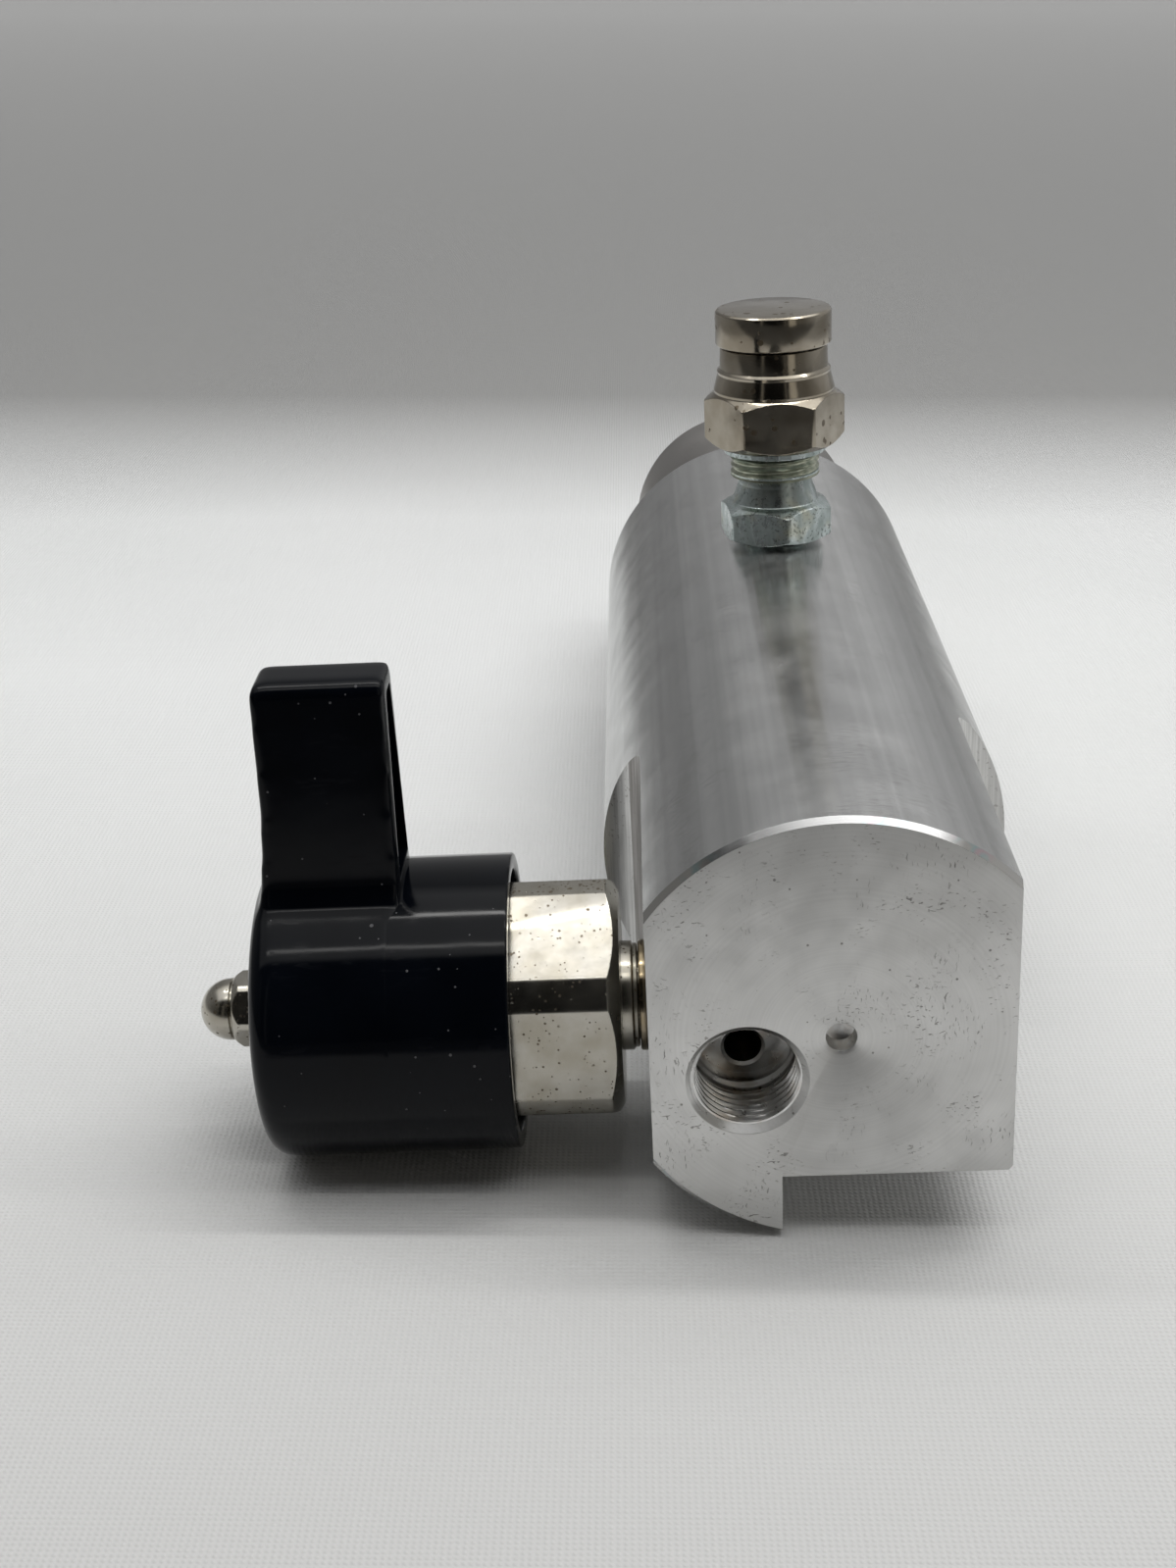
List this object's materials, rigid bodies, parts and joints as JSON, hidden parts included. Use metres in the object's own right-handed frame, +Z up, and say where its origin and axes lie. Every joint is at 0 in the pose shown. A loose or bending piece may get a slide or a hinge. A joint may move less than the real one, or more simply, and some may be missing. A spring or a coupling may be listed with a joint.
{
  "type": "pneumatic cylinder",
  "caption": "Round-bar pneumatic cylinder with a threaded inlet port, a side-mounted rotary valve lever, a push-button vent on top and a spring-returned rod.",
  "frame": {"origin": "centre of the assembly's footprint: the middle of its box in X and Y, at the lowest line of the round body", "axes": "+Y along the bore from the front face with the inlet port to the rod end, +X away from the valve handle, +Z up through the vent button"},
  "size_m": [0.0976, 0.218, 0.0835],
  "materials": {
    "machined_aluminium": "fine turned and milled, satin",
    "dark_aluminium": "turned, darker grey-brown",
    "nickel_plate": "nickel plate over brass, lightly pitted",
    "zinc_plate": "blue-white zinc plate",
    "ground_steel": "ground and polished steel",
    "spring_steel": "oiled steel",
    "brass": "turned brass",
    "bronze": "sintered bearing bronze",
    "black_plastic": "glossy black moulding",
    "seal_rubber": "matt black nitrile",
    "seal_polymer": "off-white filled polymer"
  },
  "bodies": {
    "housing": {"cylinder_body": "machined_aluminium", "rod_end_gland": "dark_aluminium", "gland_seal_ring": "seal_rubber", "rod_bushing": "bronze", "rod_seal": "seal_rubber", "rod_wiper": "seal_polymer", "front_bumper": "seal_rubber", "valve_bonnet": "nickel_plate", "valve_seal_ring": "brass", "stem_seal_inner": "seal_rubber", "stem_seal_outer": "seal_rubber", "stem_packing": "seal_polymer", "vent_adapter": "zinc_plate", "vent_washer": "zinc_plate", "vent_body": "nickel_plate", "return_spring": "spring_steel", "vent_button_spring": "spring_steel"},
    "piston_and_rod": {"piston": "machined_aluminium", "piston_seal_front": "seal_rubber", "piston_wear_ring": "seal_polymer", "piston_seal_rear": "seal_rubber", "piston_rod": "ground_steel", "piston_nut": "spring_steel", "rod_end_nut": "nickel_plate"},
    "handle": {"lever_handle": "black_plastic", "valve_stem": "ground_steel", "valve_plug": "brass", "stem_washer": "spring_steel", "stem_retaining_clip": "spring_steel", "handle_cap_nut": "nickel_plate"},
    "button": {"vent_button": "nickel_plate", "vent_plunger": "brass", "vent_poppet_seal": "seal_rubber"}
  },
  "joints": [
    {"name": "rod_slide", "type": "slide", "parent": "housing", "child": "piston_and_rod", "axis": [0, 1, 0], "range_m": [0, 0.02], "stiffness_N_per_m": 900, "springref_m": -0.012, "deforming": ["return_spring"]},
    {"name": "handle_turn", "type": "hinge", "parent": "housing", "child": "handle", "pos_m": [0.00315, -0.0883, 0.0198], "axis": [-1, 0, 0], "range_deg": [0, 90]},
    {"name": "button_press", "type": "slide", "parent": "housing", "child": "button", "axis": [0, 0, -1], "range_m": [0, 0.0028], "stiffness_N_per_m": 900, "springref_m": -0.003, "deforming": ["vent_button_spring"]}
  ]
}
